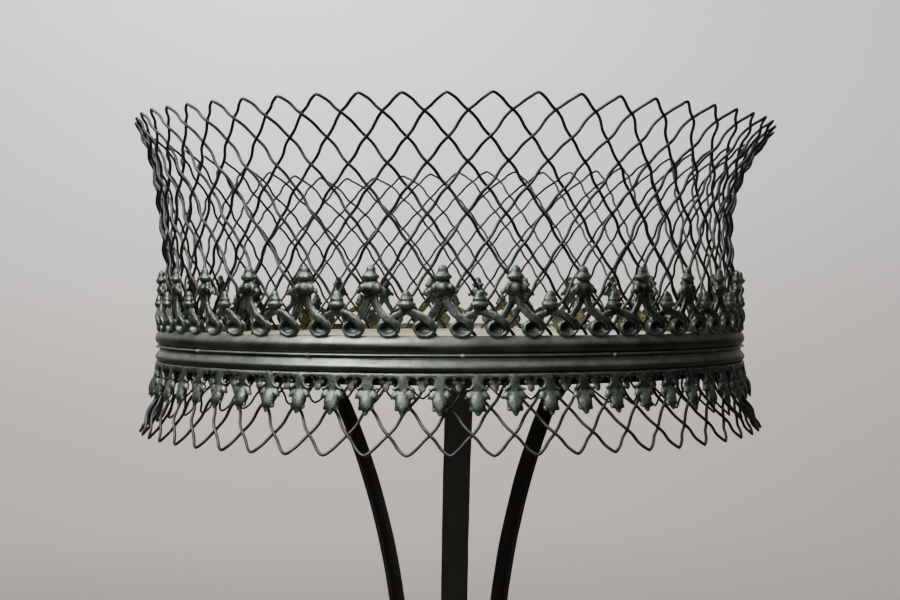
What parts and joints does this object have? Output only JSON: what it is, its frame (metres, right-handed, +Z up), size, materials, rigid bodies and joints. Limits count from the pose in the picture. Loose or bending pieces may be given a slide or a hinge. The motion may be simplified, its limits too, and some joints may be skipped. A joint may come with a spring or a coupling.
{
  "type": "wirework plant stand",
  "caption": "Round woven-wire plant basket with flared rim and skirt, held in a moulded band with cast crest and pendant trims, on bowed strap-iron legs.",
  "frame": {"origin": "on the floor, on the stand's vertical axis", "axes": "+Z up along the axis, -Y towards the front, where the first leg stands"},
  "size_m": [0.4716, 0.4716, 0.7607],
  "materials": {
    "lattice_wire": "blackened drawn iron wire, worn",
    "band": "dark green-grey patina with paler worn beads",
    "cast_trim": "dark green-grey patina, brown-black recesses",
    "strap_iron": "black iron with a faint brown bloom",
    "hoop": "dark oxidised iron",
    "pan": "aged pale green-cream paint",
    "rivet": "worn iron"
  },
  "bodies": {
    "root": {"band_moulding": "band", "band_rivet_01": "rivet", "band_rivet_02": "rivet", "band_rivet_03": "rivet", "band_rivet_04": "rivet", "band_rivet_05": "rivet", "band_rivet_06": "rivet", "band_rivet_07": "rivet", "band_rivet_08": "rivet", "band_rivet_09": "rivet", "band_rivet_10": "rivet", "band_rivet_11": "rivet", "band_rivet_12": "rivet", "band_rivet_13": "rivet", "band_rivet_14": "rivet", "crest_trim_1": "cast_trim", "crest_trim_2": "cast_trim", "crest_trim_3": "cast_trim", "crest_trim_4": "cast_trim", "crest_trim_5": "cast_trim", "crest_trim_6": "cast_trim", "floor_pan": "pan", "inner_hoop": "hoop", "lattice_wire_01": "lattice_wire", "lattice_wire_02": "lattice_wire", "lattice_wire_03": "lattice_wire", "lattice_wire_04": "lattice_wire", "lattice_wire_05": "lattice_wire", "lattice_wire_06": "lattice_wire", "lattice_wire_07": "lattice_wire", "lattice_wire_08": "lattice_wire", "lattice_wire_09": "lattice_wire", "lattice_wire_10": "lattice_wire", "lattice_wire_11": "lattice_wire", "lattice_wire_12": "lattice_wire", "lattice_wire_13": "lattice_wire", "lattice_wire_14": "lattice_wire", "leg_1": "strap_iron", "leg_2": "strap_iron", "leg_3": "strap_iron", "leg_rivet_1": "rivet", "leg_rivet_2": "rivet", "leg_rivet_3": "rivet", "pendant_trim_1": "cast_trim", "pendant_trim_2": "cast_trim", "pendant_trim_3": "cast_trim", "pendant_trim_4": "cast_trim", "pendant_trim_5": "cast_trim", "pendant_trim_6": "cast_trim", "waist_ring": "strap_iron", "waist_rivet_1": "rivet", "waist_rivet_2": "rivet", "waist_rivet_3": "rivet"}
  },
  "joints": []
}
